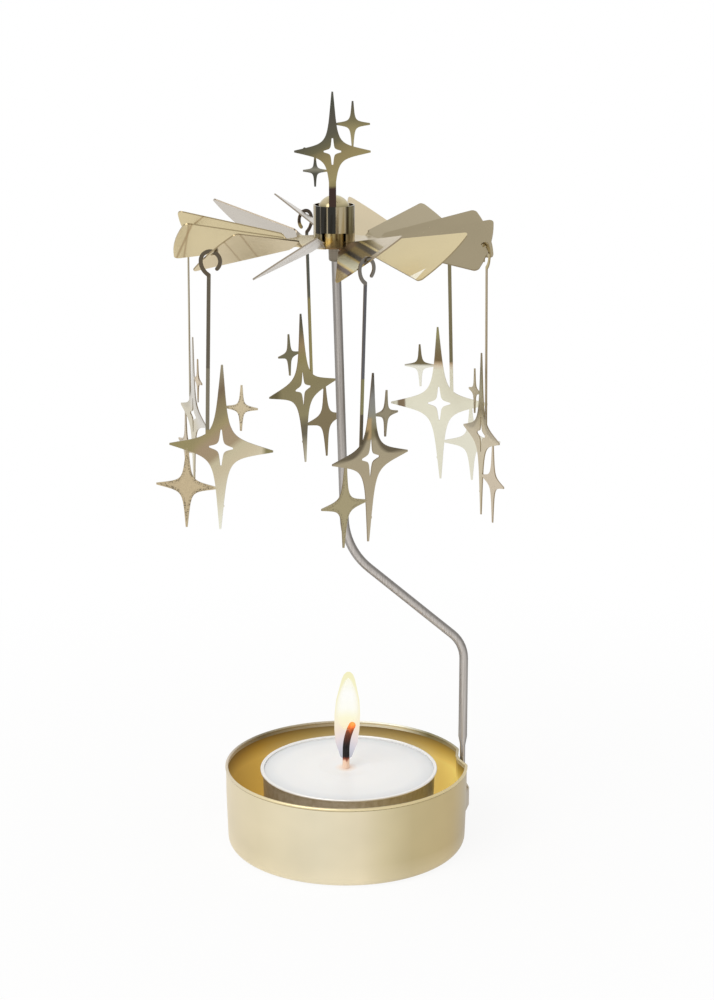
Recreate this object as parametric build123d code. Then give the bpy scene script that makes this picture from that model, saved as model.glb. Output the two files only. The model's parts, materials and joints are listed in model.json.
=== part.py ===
from build123d import *
from math import asin, atan2, cos, degrees, radians, sin, sqrt
import os

# Rotary tealight holder: a candle cup, a bent wire, and a twelve-bladed wheel that spins on the wire's
# point and carries six hanging star pendants under a star topper.
# Millimetres. +Z is up, -Y is the front, +X is the right, and the origin is the centre of the cup's
# underside. An azimuth is counted in degrees from the front, towards the right.

# Sheet metal and fits
sheet = 0.3
seat_gap = 0.03
running_gap = 0.05
lift_gap = 0.1
cut_overrun = 1.0

# Candle cup
cup_radius = 26.18
cup_base_radius = 25.82
cup_height = 18.0
cup_corner = 2.1
rim_bead_radius = 0.32
socket_azimuth = 98.5
socket_centre_radius = 25.7
dent_room = 0.35
dent_half_width = 4.9
dent_floor_half_width = 1.1
dent_bend_radius = 1.0
strap_top = 11.15
strap_bottom = 7.2
strap_room = 0.45
strap_crown_half_width = 1.4
slit_height = 0.6

# Stand wire
wire_diameter = 1.9
wire_flat_thickness = 1.1
wire_flat_width = 2.3
flat_top = 20.7
flat_blend = 2.0
knee_height = 44.0
knee_radius = 7.5
elbow_height = 66.3
elbow_reach = 2.23
elbow_radius = 15.4

# Pivot
pivot_offset = -2.4
wheel_height = 131.9
cap_height = 9.4
cap_radius = 3.42
cap_flange_radius = 3.85
needle_diameter = 1.1
needle_point_length = 2.4
needle_point_radius = 0.12
needle_seat_depth = 3.0
wire_top_drop = 8.2
sleeve_diameter = 3.0
sleeve_length = 8.0
sleeve_round = 0.5

# Rotor wheel
wheel_radius = 32.9
blade_count = 12
first_blade_azimuth = 12.9
blade_half_angle = 14.1
blade_root_radius = 10.9
blade_root_half_width = 1.75
blade_corner = 1.0
neck_half_width = 1.35
neck_start_radius = 9.9
neck_end_radius = 10.7
plate_radius = 9.6
hanger_hole_diameter = 1.6
hanger_hole_edge = 1.1
blade_tilts = (32.8, 30.4, 31.8, 30.2, 30.5, 31.8, 34.0, 38.8, 38.5, 34.2, 33.6, 33.4)
blade_lifts = (2.0, 0.8, 1.2, 1.1, 0.7, 1.6, 3.3, 2.6, 1.6, 2.1, 1.8, 1.9)

# Topper
collar_radius = 4.25
collar_height = 7.4
collar_notch_height = 2.0
collar_notch_half_angle = 35.0
tab_width = 2.4
tab_fold = 1.1
foot_width = 1.46
foot_reach = 6.2
topper_star_rise = 18.8
topper_star_shift = -0.25
topper_big_star = (7.7, 11.9)
topper_window = (1.75, 2.65)
topper_upper_star = (3.5, 4.55)
topper_upper_place = (4.05, 5.5)
topper_lower_star = (2.45, 3.2)
topper_lower_place = (-3.5, -3.85)
topper_nub_place = (-5.6, 0.5)
nub_radius = 0.33

# Pendants
pendant_turns = (123.3, 123.8, 124.5, 125.1, 125.2, 125.6)
pendant_sways = (0.6, 0.2, 0.0, 0.7, -0.1, -0.1)
pendant_thickness = 0.25
ring_mean_radius = 1.97
ring_band = 0.78
ring_drop = 1.15
ring_set_in = 0.15
ring_free_end = -46.0
stem_width = 0.75
stem_shift = -0.3
stem_top_drop = 2.75
stem_overlap = 2.2
star_drop = 37.4
star_shift = 2.55
pendant_big_star = (10.7, 16.9)
pendant_window = (2.5, 3.7)
pendant_upper_star = (3.4, 4.65)
pendant_upper_place = (4.05, 8.4)
pendant_lower_star = (6.4, 8.6)
pendant_lower_place = (-7.0, -8.45)
pendant_nub_place = (0.45, -12.1)
star_tip_width = 0.36
star_bow_shares = (0.154, 0.086)
window_tip_width = 0.3
window_bow_shares = (0.23, 0.137)

# Tealight
tealight_rim_radius = 19.25
tealight_body_radius = 18.75
tealight_base_radius = 18.2
tealight_height = 16.7
tealight_shift = 0.5
tealight_wall = 0.25
tealight_corner = 1.2
tealight_lip_radius = 0.25
wax_drop = 0.4
wax_pool_depth = 0.35
wax_pool_radius = 6.0
wick_diameter = 1.5
wick_place = (-0.6, 1.2)
wick_above_wax = 10.2
wick_bend_above_wax = 3.5
wick_reach = 1.35
sustainer_radius = 6.2
sustainer_neck_radius = 1.5
sustainer_neck_height = 3.2


def star_outline(half_width, half_height, bow_shares, tip_width):
    """Face of a four-pointed star in X and Y, whose sides bow in towards its middle."""
    tip = tip_width / 2
    far_share, near_share = bow_shares
    edges = []
    for sx, sy in ((1, 1), (-1, 1), (-1, -1), (1, -1)):
        side = (sx * half_width, sy * tip)
        side_pull = (sx * near_share * half_width, sy * far_share * half_height)
        top_pull = (sx * far_share * half_width, sy * near_share * half_height)
        top = (sx * tip, sy * half_height)
        edges.append(Bezier(side, side_pull, top_pull, top))
    edges.append(Line((tip, half_height), (-tip, half_height)))
    edges.append(Line((tip, -half_height), (-tip, -half_height)))
    edges.append(Line((half_width, tip), (half_width, -tip)))
    edges.append(Line((-half_width, tip), (-half_width, -tip)))
    return make_face(edges)


def azimuth_turn(azimuth):
    """Turn about Z that takes +X to an azimuth."""
    return Rot(0, 0, azimuth - 90)


def plan_point(radius, azimuth):
    return Vector(radius * sin(radians(azimuth)), -radius * cos(radians(azimuth)), 0)


# Candle cup

dent_floor_radius = socket_centre_radius - wire_flat_thickness / 2 - dent_room
strap_crown_radius = socket_centre_radius + wire_flat_thickness / 2 + strap_room + sheet
dent_bottom = strap_top + slit_height
window_low = strap_bottom - slit_height


def wall_radius(height):
    """Outer radius of the cup's lower wall at a height above its underside."""
    return cup_base_radius + (cup_radius - cup_base_radius) * height / dent_bottom


def cup_plan():
    """Outline of the cup's upper wall seen from above, with the socket's dent towards +X."""
    lip_x = sqrt(cup_radius ** 2 - dent_half_width ** 2)
    lip_left = (lip_x, dent_half_width)
    lip_right = (lip_x, -dent_half_width)
    floor_left = (dent_floor_radius, dent_floor_half_width)
    floor_right = (dent_floor_radius, -dent_floor_half_width)
    round_side = ThreePointArc(lip_left, (-cup_radius, 0), lip_right)
    dent = Polyline(lip_right, floor_right, floor_left, lip_left)
    face = make_face([round_side, dent])
    return fillet(face.vertices().sort_by(Axis.X)[-4:], dent_bend_radius)


def cup_lower_shell():
    """Drawn bottom and slightly tapered wall of the cup, up to the lower end of the dent."""
    solid = Pos(0, 0, dent_bottom / 2) * Cone(cup_base_radius, cup_radius, dent_bottom)
    solid = fillet(solid.faces().sort_by(Axis.Z)[0].edges(), cup_corner)
    depth = dent_bottom - sheet
    hollow = Pos(0, 0, sheet + depth / 2) * Cone(wall_radius(sheet) - sheet, cup_radius - sheet, depth)
    hollow = fillet(hollow.faces().sort_by(Axis.Z)[0].edges(), cup_corner - sheet)
    return solid - hollow


def cup_upper_wall():
    """Upper wall with the dent for the wire, and the rolled bead round its edge."""
    plan = cup_plan()
    inner = offset(plan, -sheet)
    middle = offset(plan, -sheet / 2)
    height = cup_height - rim_bead_radius - dent_bottom
    wall = extrude(Pos(0, 0, dent_bottom) * (plan - inner), height)
    path = (Pos(0, 0, cup_height - rim_bead_radius) * middle).wires()[0]
    section = Plane(origin=path @ 0, z_dir=path % 0) * Circle(rim_bead_radius)
    return wall + sweep(section, path)


def strap():
    """Strip of the wall that bulges out over the wire, between its two slits."""
    foot_radius = wall_radius((strap_bottom + strap_top) / 2) - sheet / 2
    foot_x = sqrt(foot_radius ** 2 - dent_half_width ** 2)
    crown_x = strap_crown_radius - sheet / 2
    line = FilletPolyline(
        (foot_x - sheet, -dent_half_width - sheet),
        (foot_x, -dent_half_width),
        (crown_x, -strap_crown_half_width),
        (crown_x, strap_crown_half_width),
        (foot_x, dent_half_width),
        (foot_x - sheet, dent_half_width + sheet),
        radius=sheet,
    )
    band = trace(line, sheet)
    return extrude(Pos(0, 0, strap_bottom) * band, strap_top - strap_bottom)


def candle_cup():
    """Cup with the window behind the strap, on whose lower edge the wire's end stands."""
    window_height = dent_bottom - window_low
    window_depth = 2 * cut_overrun + wire_diameter
    window = Box(window_depth, 2 * dent_half_width, window_height)
    shell = cup_lower_shell() - Pos(cup_radius, 0, window_low + window_height / 2) * window
    return azimuth_turn(socket_azimuth) * (shell + strap() + cup_upper_wall())


# Stand wire and pivot

pivot = Vector(pivot_offset, 0, 0)
plate_top = wheel_height + sheet / 2
plate_underside = wheel_height - sheet / 2
cap_top = plate_top + cap_height
needle_tip_height = cap_top - sheet - running_gap
socket_point = plan_point(socket_centre_radius, socket_azimuth)
wire_run = (socket_point - pivot).length
wire_direction = degrees(atan2(socket_point.Y - pivot.Y, socket_point.X - pivot.X))
wire_lean = degrees(atan2(elbow_reach, needle_tip_height - elbow_height))


def wire_plane():
    """Upright plane of the wire: X runs from the pivot's axis to the socket, and Y is up."""
    turn = radians(wire_direction)
    return Plane(origin=pivot, x_dir=(cos(turn), sin(turn), 0), z_dir=(sin(turn), -cos(turn), 0))


def upper_leg_point(drop):
    """Point on the leaning upper leg, a distance below the needle's tip."""
    lean = radians(wire_lean)
    return (drop * sin(lean), needle_tip_height - drop * cos(lean))


def stand_wire():
    top = upper_leg_point(wire_top_drop)
    elbow = (elbow_reach, elbow_height)
    knee = (wire_run, knee_height)
    foot = (wire_run, flat_top + flat_blend)
    line = FilletPolyline(top, elbow, knee, foot, radius=[elbow_radius, knee_radius])
    path = wire_plane() * line
    start = Plane(origin=path @ 0, z_dir=path % 0)
    wire = sweep(start * Circle(wire_diameter / 2), path)
    flat = Ellipse(wire_flat_thickness / 2, wire_flat_width / 2)
    blend = loft([Pos(0, 0, flat_top) * flat, Pos(0, 0, flat_top + flat_blend) * Circle(wire_diameter / 2)])
    wire_end_height = window_low + seat_gap
    blade = extrude(Pos(0, 0, wire_end_height) * flat, flat_top - wire_end_height)
    end = Pos(socket_point.X, socket_point.Y, 0) * azimuth_turn(socket_azimuth) * (blend + blade)
    return wire + end


def on_upper_leg(shape):
    """Place a shape, drawn hanging down from the origin, on the upper leg at the needle's tip."""
    lean = Rot(0, -wire_lean, 0)
    turn = Rot(0, 0, wire_direction)
    return Pos(pivot.X, pivot.Y, needle_tip_height) * turn * lean * shape


def pivot_needle():
    """Steel pin with a ground point, seated in the sleeve above the wire's end."""
    radius = needle_diameter / 2
    shaft_length = wire_top_drop - seat_gap - needle_point_length
    shaft = Pos(0, 0, -needle_point_length - shaft_length / 2) * Cylinder(radius, shaft_length)
    point = Pos(0, 0, -needle_point_length / 2) * Cone(radius, needle_point_radius, needle_point_length)
    return on_upper_leg(shaft + point)


def pivot_sleeve():
    """Sleeve that joins the needle to the wire, with a narrow bore above and a wide one below."""
    top = wire_top_drop - needle_seat_depth
    body = Pos(0, 0, -top - sleeve_length / 2) * Cylinder(sleeve_diameter / 2, sleeve_length)
    body = fillet(body.edges().filter_by(GeomType.CIRCLE), sleeve_round)
    wide_length = sleeve_length - needle_seat_depth + cut_overrun
    wide = Pos(0, 0, -wire_top_drop - wide_length / 2 + seat_gap) * Cylinder(
        wire_diameter / 2 + seat_gap, wide_length
    )
    narrow = Pos(0, 0, -top - sleeve_length / 2) * Cylinder(
        needle_diameter / 2 + seat_gap, sleeve_length + 2 * cut_overrun
    )
    return on_upper_leg(body - wide - narrow)


# Rotor

cap_hole_radius = cap_radius + running_gap
slot_inner_radius = sqrt((collar_radius - sheet) ** 2 - tab_width ** 2 / 4) - running_gap
slot_outer_radius = collar_radius + running_gap
tab_azimuths = (90, 270)


def blade_frame(index):
    """Place of a blade's own axes: X out along the blade, Y across it towards its raised side."""
    azimuth = first_blade_azimuth + index * 360 / blade_count
    tilt = blade_tilts[index % len(blade_tilts)]
    lift = blade_lifts[index % len(blade_lifts)]
    hub = Pos(pivot.X, pivot.Y, wheel_height) * azimuth_turn(azimuth)
    return hub * Rot(0, -lift, 0) * Rot(tilt, 0, 0)


def hanger_hole_place():
    """Middle of the hanger hole in a blade's own axes."""
    return (wheel_radius - hanger_hole_edge, 0)


def wing_outline():
    """Flat outline of one blade outside its neck."""
    half = radians(blade_half_angle)
    outer = (wheel_radius * cos(half), wheel_radius * sin(half))
    inner = (blade_root_radius, blade_root_half_width)
    rim = ThreePointArc(outer, (wheel_radius, 0), (outer[0], -outer[1]))
    tab_start = neck_end_radius
    sides = Polyline(
        (outer[0], -outer[1]),
        (inner[0], -inner[1]),
        (inner[0], -neck_half_width),
        (tab_start, -neck_half_width),
        (tab_start, neck_half_width),
        (inner[0], neck_half_width),
        inner,
        outer,
    )
    face = make_face([rim, sides])
    return fillet(face.vertices().sort_by(Axis.X)[-2:], blade_corner)


def blade_neck(index):
    """Twisted neck between the flat plate and a tilted blade."""
    azimuth = first_blade_azimuth + index * 360 / blade_count
    hub = Pos(pivot.X, pivot.Y, wheel_height) * azimuth_turn(azimuth)
    section = Rectangle(2 * neck_half_width, sheet)
    facing = Plane(origin=(0, 0, 0), x_dir=(0, 1, 0), z_dir=(1, 0, 0))
    flat = hub * Pos(neck_start_radius, 0, 0) * (facing * section)
    turned = blade_frame(index) * Pos(neck_end_radius, 0, 0) * (facing * section)
    return loft([flat, turned])


def wheel_plate():
    """Flat middle of the wheel, with a stub for each neck, the cap's hole and the tabs' slots."""
    outline = Circle(plate_radius)
    stub = Pos(neck_start_radius / 2, 0) * Rectangle(neck_start_radius, 2 * neck_half_width)
    for index in range(blade_count):
        azimuth = first_blade_azimuth + index * 360 / blade_count
        outline = outline + azimuth_turn(azimuth) * stub
    outline = outline - Circle(cap_hole_radius)
    slot_width = tab_width + 2 * running_gap
    slot_middle = (slot_inner_radius + slot_outer_radius) / 2
    slot = Pos(slot_middle, 0) * Rectangle(slot_outer_radius - slot_inner_radius, slot_width)
    for azimuth in tab_azimuths:
        outline = outline - azimuth_turn(azimuth) * slot
    return Pos(pivot.X, pivot.Y, wheel_height) * extrude(outline, sheet / 2, both=True)


def rotor_wheel():
    """The whole wheel, cut and twisted from one sheet, with a hanger hole in every second blade."""
    wheel = wheel_plate()
    wing = extrude(wing_outline(), sheet / 2, both=True)
    hole = Pos(*hanger_hole_place()) * Cylinder(hanger_hole_diameter / 2, sheet + 2 * cut_overrun)
    for index in range(blade_count):
        blade = wing
        if index % 2 == 0:
            blade = wing - hole
        wheel = wheel + (blade_frame(index) * blade + blade_neck(index))
    return wheel


def bearing_cap():
    """Thimble with a domed top, whose flange lies under the wheel's plate."""
    flange_top = plate_underside - seat_gap
    flange_bottom = flange_top - sheet
    dome_centre = cap_top - cap_radius
    length = dome_centre - flange_bottom
    bore = cap_radius - sheet
    outside = Pos(0, 0, flange_bottom + length / 2) * Cylinder(cap_radius, length)
    outside = outside + Pos(0, 0, dome_centre) * Sphere(cap_radius)
    flange = Pos(0, 0, flange_bottom + sheet / 2) * Cylinder(cap_flange_radius, sheet)
    inside = Pos(0, 0, flange_bottom + length / 2 - cut_overrun / 2) * Cylinder(bore, length + cut_overrun)
    inside = inside + Pos(0, 0, dome_centre) * Sphere(bore)
    return Pos(pivot.X, pivot.Y, 0) * (outside + flange - inside)


def star_cluster(big, window, upper, upper_place, lower, lower_place, nub_place):
    """Flat cluster of a large pierced star and two small ones, with a nub left by the cutting."""
    face = star_outline(*big, star_bow_shares, star_tip_width)
    face = face + Pos(*upper_place) * star_outline(*upper, star_bow_shares, star_tip_width)
    face = face + Pos(*lower_place) * star_outline(*lower, star_bow_shares, star_tip_width)
    face = face + Pos(*nub_place) * Circle(nub_radius)
    return face - star_outline(*window, window_bow_shares, window_tip_width)


def collar():
    """Rolled collar standing on the plate, with a notch at its front and back."""
    low = plate_top + seat_gap
    ring = Pos(0, 0, low + collar_height / 2) * (
        Cylinder(collar_radius, collar_height) - Cylinder(collar_radius - sheet, collar_height)
    )
    notch_width = 2 * collar_radius * sin(radians(collar_notch_half_angle))
    notch = Pos(0, 0, low + collar_notch_height / 2) * Box(
        notch_width, 2 * collar_radius + cut_overrun, collar_notch_height
    )
    return ring - notch


def collar_tab():
    """Tab of the collar towards +X, through the plate's slot and folded in under the cap's flange."""
    fold_top = plate_underside - seat_gap - sheet - seat_gap
    high = plate_top + seat_gap
    length = high - fold_top + sheet
    ring = Cylinder(collar_radius, length) - Cylinder(collar_radius - sheet, length)
    wall = ring & Pos(collar_radius, 0, 0) * Box(collar_radius, tab_width, length)
    fold_length = tab_fold + sheet
    fold = Pos(collar_radius - sheet / 2 - fold_length / 2, 0, fold_top - sheet / 2) * Box(
        fold_length, tab_width, sheet
    )
    return Pos(0, 0, high - length / 2) * wall + fold


def topper_star():
    """Star cluster, foot strip, rolled collar and its tabs, all from one sheet."""
    cluster = star_cluster(
        topper_big_star,
        topper_window,
        topper_upper_star,
        topper_upper_place,
        topper_lower_star,
        topper_lower_place,
        topper_nub_place,
    )
    collar_top = plate_top + seat_gap + collar_height
    star_height = wheel_height + topper_star_rise
    foot_low = collar_top - foot_width - star_height
    foot = Pos(0, (foot_low - foot_reach) / 2) * Rectangle(foot_width, -foot_reach - foot_low)
    flat = extrude(cluster + foot, sheet / 2, both=True)
    face_depth = collar_radius - sheet / 2 + seat_gap
    standing = Pos(topper_star_shift, -face_depth, star_height) * Rot(90, 0, 0) * flat
    solid = standing + collar()
    for azimuth in tab_azimuths:
        solid = solid + azimuth_turn(azimuth) * collar_tab()
    return Pos(pivot.X, pivot.Y, 0) * solid


# Pendants

def arc_band(radius, width, start, end):
    """Flat ring segment between two angles."""
    inner = radius - width / 2
    outer = radius + width / 2
    arc_in = CenterArc((0, 0), inner, start, end - start)
    arc_out = CenterArc((0, 0), outer, start, end - start)
    return make_face([arc_in, arc_out, Line(arc_in @ 0, arc_out @ 0), Line(arc_in @ 1, arc_out @ 1)])


def straight_band(start, end, width):
    """Flat strip between two points."""
    run = Vector(*end) - Vector(*start)
    turn = degrees(atan2(run.Y, run.X))
    return Pos(*start) * Rot(0, 0, turn) * Pos(run.length / 2, 0) * Rectangle(run.length, width)


def pendant_face():
    """Flat pendant in X and Y about the middle of its ring, before it hangs."""
    free = radians(ring_free_end)
    free_point = (ring_mean_radius * cos(free), ring_mean_radius * sin(free))
    stem_top = (stem_shift, -stem_top_drop)
    stem_foot = (stem_shift, -star_drop + stem_overlap)
    throat_reach = ring_mean_radius + stem_shift
    throat_radius = (throat_reach ** 2 + stem_top_drop ** 2) / (2 * throat_reach)
    throat_turn = degrees(asin(stem_top_drop / throat_radius))
    throat = arc_band(throat_radius, ring_band, 180, 180 + throat_turn)
    face = arc_band(ring_mean_radius, ring_band, ring_free_end, 180)
    face = face + Pos(*free_point) * Circle(ring_band / 2)
    face = face + Pos(throat_radius - ring_mean_radius, 0) * throat
    face = face + Pos(*stem_top) * Circle(stem_width / 2)
    face = face + straight_band(stem_top, stem_foot, stem_width)
    cluster = star_cluster(
        pendant_big_star,
        pendant_window,
        pendant_upper_star,
        pendant_upper_place,
        pendant_lower_star,
        pendant_lower_place,
        pendant_nub_place,
    )
    return face + Pos(star_shift, -star_drop) * cluster


def hanging_pendant():
    """Pendant sheet hanging about the origin, upright in X and Z, with its weight under its ring."""
    face = pendant_face()
    weight = face.center(CenterOf.MASS)
    lean = degrees(atan2(weight.X, -weight.Y))
    return Rot(90, 0, 0) * extrude(Rot(0, 0, -lean) * face, pendant_thickness / 2, both=True)


def pendant_axes(index):
    """Middle of a pendant's ring, and the direction square to its sheet."""
    azimuth = first_blade_azimuth + index * 360 / blade_count
    along = plan_point(1, azimuth + pendant_turns[index // 2 % len(pendant_turns)])
    normal = Vector(-along.Y, along.X, 0)
    frame = blade_frame(index)
    hole = (frame * Pos(*hanger_hole_place())).position
    blade_normal = Plane(frame).z_dir
    line = blade_normal.cross(normal).normalized()
    if line.dot(along) < 0:
        line = line * -1
    rise = line.cross(normal).normalized()
    if rise.Z < 0:
        rise = rise * -1
    reach = sqrt(ring_mean_radius ** 2 - ring_drop ** 2) - ring_set_in
    return hole - line * reach - rise * ring_drop, normal


def pendant(index, sheet_solid):
    """The hanging sheet at its blade, turned and swayed as it came to rest."""
    centre, normal = pendant_axes(index)
    turn = degrees(atan2(normal.Y, normal.X)) - 90
    sway = pendant_sways[index // 2 % len(pendant_sways)]
    return Pos(centre) * Rot(0, 0, turn) * Rot(0, sway, 0) * sheet_solid


# Tealight

tealight_floor = sheet + lift_gap
wax_bottom = tealight_wall + seat_gap
wax_top = tealight_height - wax_drop


def body_radius(height):
    """Outer radius of the tealight's body at a height above its underside."""
    return tealight_base_radius + (tealight_body_radius - tealight_base_radius) * height / tealight_height


def place_tealight(shape):
    return Pos(tealight_shift, 0, tealight_floor) * shape


def upright(low, height, radius):
    """Upright cylinder from a height upwards."""
    return Pos(0, 0, low + height / 2) * Cylinder(radius, height)


def tealight_shell():
    """Thin pressed shell with a rolled lip."""
    height = tealight_height - tealight_lip_radius
    outside = Pos(0, 0, height / 2) * Cone(tealight_base_radius, body_radius(height), height)
    outside = fillet(outside.edges().filter_by(GeomType.CIRCLE).sort_by(Axis.Z)[0], tealight_corner)
    low = tealight_wall
    depth = height - low
    low_radius = body_radius(low) - tealight_wall
    neck_inner = body_radius(height) - tealight_wall
    inside = Pos(0, 0, low + depth / 2) * Cone(low_radius, neck_inner, depth)
    low_edge = inside.edges().filter_by(GeomType.CIRCLE).sort_by(Axis.Z)[0]
    inside = fillet(low_edge, tealight_corner - tealight_wall)
    lip = Pos(0, 0, height) * Torus(tealight_rim_radius - tealight_lip_radius, tealight_lip_radius)
    neck_outer = tealight_rim_radius - tealight_lip_radius
    neck = Pos(0, 0, height) * (
        Cylinder(neck_outer, tealight_wall) - Cylinder(neck_inner, tealight_wall)
    )
    return place_tealight(outside - inside + lip + neck)


def tealight_wax():
    """Wax filling of the shell, with a shallow pool round the wick and room for the sustainer."""
    height = wax_top - wax_bottom
    gap = tealight_wall + seat_gap
    low_radius = body_radius(wax_bottom) - gap
    wax = Pos(0, 0, wax_bottom + height / 2) * Cone(low_radius, body_radius(wax_top) - gap, height)
    low_edge = wax.edges().filter_by(GeomType.CIRCLE).sort_by(Axis.Z)[0]
    wax = fillet(low_edge, tealight_corner - tealight_wall)
    pool_sphere = (wax_pool_radius ** 2 + wax_pool_depth ** 2) / (2 * wax_pool_depth)
    hollows = Pos(0, 0, wax_top - wax_pool_depth + pool_sphere) * Sphere(pool_sphere)
    disc_room = tealight_wall + 2 * seat_gap
    neck_room = sustainer_neck_height + 2 * seat_gap
    hollows = hollows + upright(wax_bottom, disc_room, sustainer_radius + seat_gap)
    hollows = hollows + upright(wax_bottom, neck_room, sustainer_neck_radius + seat_gap)
    hollows = hollows + upright(wax_bottom, height, wick_diameter / 2 + seat_gap)
    return place_tealight(wax - Pos(*wick_place) * hollows)


def wick_sustainer():
    """Tin disc with a short neck that holds the wick's foot."""
    disc = upright(wax_bottom, tealight_wall, sustainer_radius)
    neck = upright(wax_bottom, sustainer_neck_height, sustainer_neck_radius)
    bore = upright(wax_bottom + tealight_wall, sustainer_neck_height, wick_diameter / 2 + seat_gap)
    return place_tealight(Pos(*wick_place) * (disc + neck - bore))


def wick():
    """Wick, upright in the wax and curling over a little at its tip."""
    low = wax_bottom + tealight_wall + seat_gap
    bend = wax_top + wick_bend_above_wax
    tip = (wick_reach, wax_top + wick_above_wax - wick_diameter / 2)
    straight = Line((0, low), (0, bend))
    curl = TangentArc((0, bend), tip, tangent=(0, 1))
    path = Plane.XZ * (straight + curl)
    section = Pos(0, 0, low) * Circle(wick_diameter / 2)
    solid = sweep(section, path) + Pos(tip[0], 0, tip[1]) * Sphere(wick_diameter / 2)
    return place_tealight(Pos(*wick_place) * solid)


def parts():
    """Every sub-part by name."""
    solids = {
        "candle_cup": candle_cup(),
        "stand_wire": stand_wire(),
        "pivot_sleeve": pivot_sleeve(),
        "pivot_needle": pivot_needle(),
        "tealight_shell": tealight_shell(),
        "tealight_wax": tealight_wax(),
        "wick_sustainer": wick_sustainer(),
        "wick": wick(),
        "rotor_wheel": rotor_wheel(),
        "bearing_cap": bearing_cap(),
        "topper_star": topper_star(),
    }
    sheet_solid = hanging_pendant()
    for index in range(0, blade_count, 2):
        solids[f"pendant_{index // 2 + 1}"] = pendant(index, sheet_solid)
    return solids


os.makedirs("parts", exist_ok=True)
for name, solid in parts().items():
    export_step(solid, f"parts/{name}.step")
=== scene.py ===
import json
import math

import bmesh
import bpy
from mathutils import Matrix, Vector


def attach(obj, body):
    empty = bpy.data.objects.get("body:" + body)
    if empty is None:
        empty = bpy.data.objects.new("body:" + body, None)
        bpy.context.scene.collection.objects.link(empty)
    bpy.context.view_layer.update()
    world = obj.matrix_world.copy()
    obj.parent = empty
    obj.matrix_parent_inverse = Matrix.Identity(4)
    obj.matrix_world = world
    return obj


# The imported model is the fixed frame: metres, +Z up, -Y the front, the origin under the cup's middle.
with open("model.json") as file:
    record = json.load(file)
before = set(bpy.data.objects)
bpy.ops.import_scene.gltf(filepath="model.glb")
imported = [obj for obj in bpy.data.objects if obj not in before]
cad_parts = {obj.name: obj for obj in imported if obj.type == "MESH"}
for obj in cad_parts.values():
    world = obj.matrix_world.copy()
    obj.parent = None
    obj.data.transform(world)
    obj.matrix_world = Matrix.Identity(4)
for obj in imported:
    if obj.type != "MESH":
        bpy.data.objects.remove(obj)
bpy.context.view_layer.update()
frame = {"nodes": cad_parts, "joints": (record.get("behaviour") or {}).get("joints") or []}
MM = 0.001
UP = Vector((0, 0, 1))
FULL_TURN = 360.0
joints = {joint["name"]: joint for joint in frame["joints"]}


def linear(code):
    """An sRGB hex colour as linear red, green, blue and an alpha of 1."""
    channels = []
    for start in (0, 2, 4):
        value = int(code[start:start + 2], 16) / 255
        low = value / 12.92
        high = ((value + 0.055) / 1.055) ** 2.4
        channels.append(low if value <= 0.04045 else high)
    return (*channels, 1)


def add(tree, kind, inputs=None, stops=None, **settings):
    """One node with its settings, its ramp's stops, and its inputs set to a value or linked to an output,
    where a node stands for its first output in use."""
    made = tree.nodes.new(kind)
    for name, value in settings.items():
        setattr(made, name, value)
    if stops:
        elements = made.color_ramp.elements
        while len(elements) < len(stops):
            elements.new(1)
        for element, (position, colour) in zip(elements, stops):
            element.position = position
            element.color = linear(colour)
    for socket, value in (inputs or {}).items():
        target = made.inputs[socket]
        if isinstance(value, bpy.types.Node):
            value = next(output for output in value.outputs if output.enabled)
        if isinstance(value, bpy.types.NodeSocket):
            tree.links.new(value, target)
        else:
            target.default_value = value
    return made


def new_material(name):
    """An empty node material, its tree, and each point's place in the piece's own metres."""
    material = bpy.data.materials.new(name)
    material.use_nodes = True
    material.node_tree.nodes.clear()
    place = add(material.node_tree, "ShaderNodeTexCoord").outputs["Object"]
    return material, material.node_tree, place


# Shared ways of drawing on a surface, all in the object's own millimetres

def reach(tree, place, origin, direction):
    """Distance in millimetres from an origin, along a direction."""
    offset = add(tree, "ShaderNodeVectorMath", {0: place, 1: origin}, operation="SUBTRACT")
    step = Vector(direction).normalized() / MM
    return add(tree, "ShaderNodeVectorMath", {0: offset, 1: step}, operation="DOT_PRODUCT")


def band(tree, value, low, high, soft):
    """1 between two values and 0 outside them, with soft edges."""
    rise = add(tree, "ShaderNodeMapRange", {"Value": value, "From Min": low - soft, "From Max": low + soft})
    fall = add(
        tree, "ShaderNodeMapRange", {"Value": value, "From Min": high + soft, "From Max": high - soft}
    )
    return add(tree, "ShaderNodeMath", {0: rise, 1: fall}, operation="MULTIPLY")


def paint_patches(tree, colour, u, w, patches):
    """Lay soft-edged patches over a colour: each has its span in u and w, its softness and its colour."""
    for low_u, high_u, low_w, high_w, soft, code in patches:
        wide = band(tree, u, low_u, high_u, soft)
        tall = band(tree, w, low_w, high_w, soft)
        share = add(tree, "ShaderNodeMath", {0: wide, 1: tall}, operation="MULTIPLY")
        colour = add(tree, "ShaderNodeMix", {"Factor": share, 6: colour, 7: linear(code)}, data_type="RGBA")
    return colour


def ramp_over(tree, value, stops):
    """A run of colours along a value, in its own unit: each stop has its place and its colour."""
    low, high = stops[0][0], stops[-1][0]
    share = add(tree, "ShaderNodeMapRange", {"Value": value, "From Min": low, "From Max": high})
    spread = [((at - low) / (high - low), code) for at, code in stops]
    return add(tree, "ShaderNodeValToRGB", {0: share}, stops=spread)


def azimuth_of(tree, place, origin):
    """Degrees from the front, towards the right, round an upright axis."""
    offset = add(tree, "ShaderNodeVectorMath", {0: place, 1: origin}, operation="SUBTRACT")
    split = add(tree, "ShaderNodeSeparateXYZ", {0: offset})
    front = add(tree, "ShaderNodeMath", {0: split.outputs["Y"], 1: -1.0}, operation="MULTIPLY")
    turn = add(tree, "ShaderNodeMath", {0: split.outputs["X"], 1: front}, operation="ARCTAN2")
    return add(tree, "ShaderNodeMath", {0: turn, 1: math.degrees(1)}, operation="MULTIPLY")


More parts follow.
